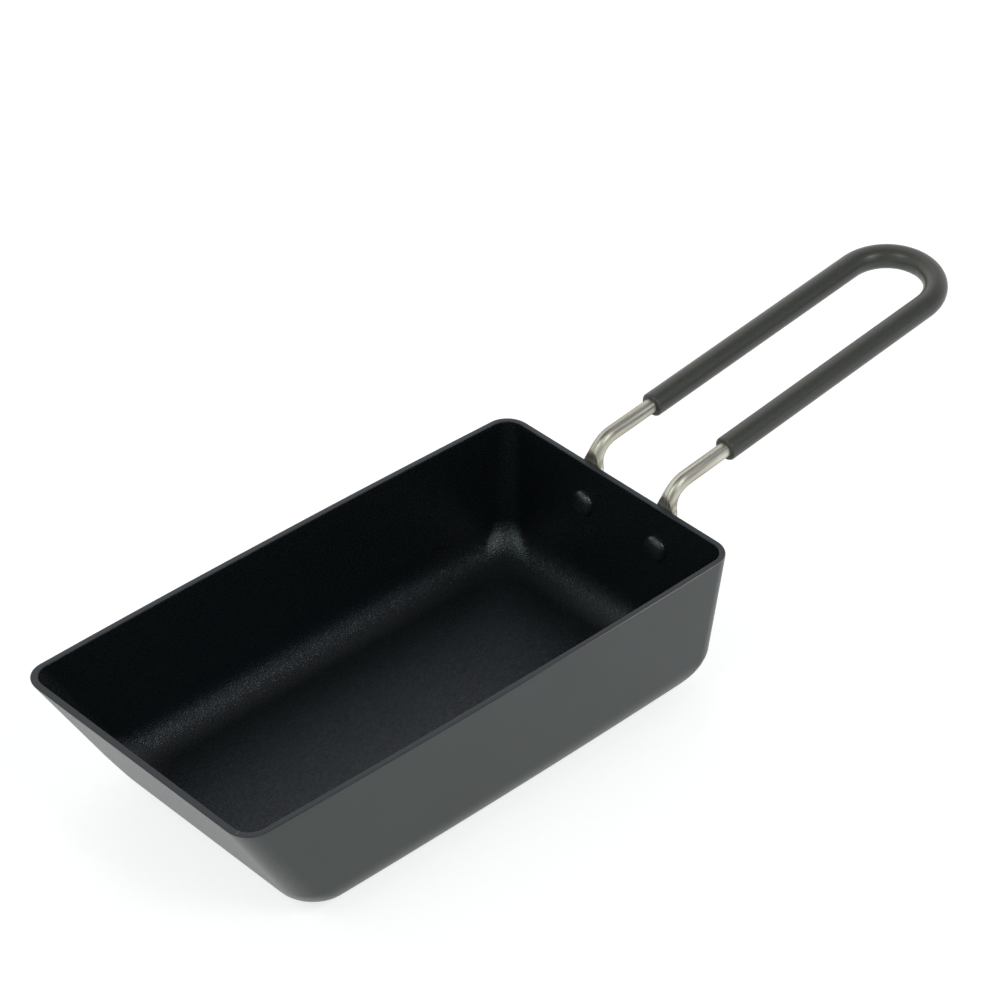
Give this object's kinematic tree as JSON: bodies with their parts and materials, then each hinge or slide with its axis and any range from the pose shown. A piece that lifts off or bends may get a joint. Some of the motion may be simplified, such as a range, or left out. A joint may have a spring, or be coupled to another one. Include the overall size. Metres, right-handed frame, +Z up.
{
  "type": "rectangular frying pan",
  "caption": "Deep rectangular frying pan with a sloped front wall, non-stick inside, and a riveted wire loop handle under a soft grip sleeve.",
  "frame": {"origin": "on the base plane, under the middle of the rim", "axes": "+Z up out of the pan, +X along the pan towards the handle, +Y towards the far long side"},
  "size_m": [0.3491, 0.1046, 0.0818],
  "materials": {
    "pan_coat": "matte grey coat outside, black non-stick coat inside",
    "handle_steel": "drawn stainless wire, satin bright",
    "grip_rubber": "smooth semi-gloss dark grey",
    "rivet_coat": "black coat"
  },
  "bodies": {
    "root": {"pan_body": "pan_coat", "handle_wire": "handle_steel", "grip_sleeve": "grip_rubber", "rivet_far": "rivet_coat", "rivet_near": "rivet_coat"}
  },
  "joints": []
}
